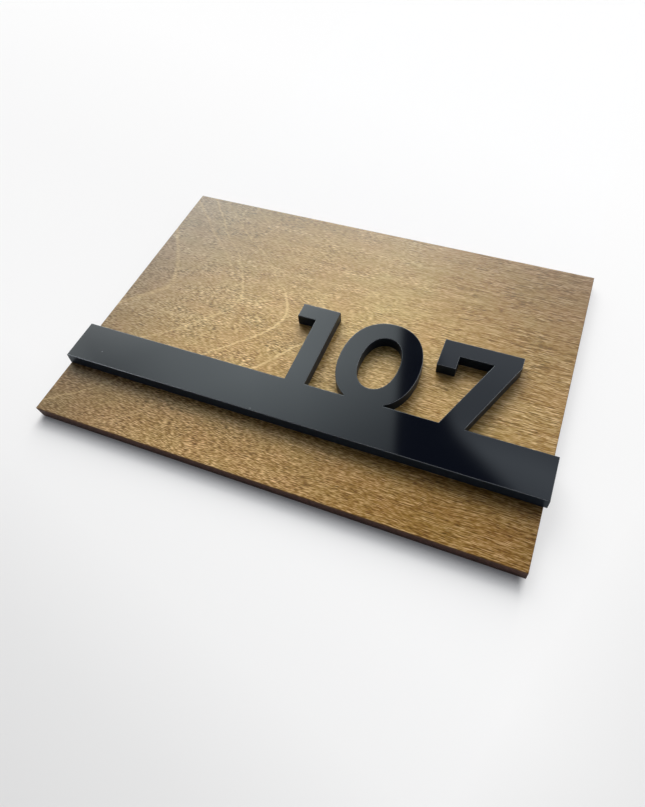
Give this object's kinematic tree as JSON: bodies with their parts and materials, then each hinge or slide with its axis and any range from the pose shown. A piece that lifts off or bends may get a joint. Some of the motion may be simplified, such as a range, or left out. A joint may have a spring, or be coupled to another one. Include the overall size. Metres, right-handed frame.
{
  "type": "house number plaque",
  "caption": "Flat rectangular plywood plaque with a gloss black acrylic strip and house numerals bonded on its face, for fixing on a wall or door.",
  "frame": {"origin": "centre of the board's flat back face, the face that goes against the wall", "axes": "+X along the board towards the reader's right, +Y up the wall, +Z out of the wall towards the reader; stored lying on its back"},
  "size_m": [0.2418, 0.175, 0.012],
  "materials": {
    "stained_plywood": "satin lacquer over brown stain",
    "gloss_acrylic": "polished gloss black"
  },
  "bodies": {
    "root": {"backing_board": "stained_plywood", "number_bar": "gloss_acrylic"}
  },
  "joints": []
}
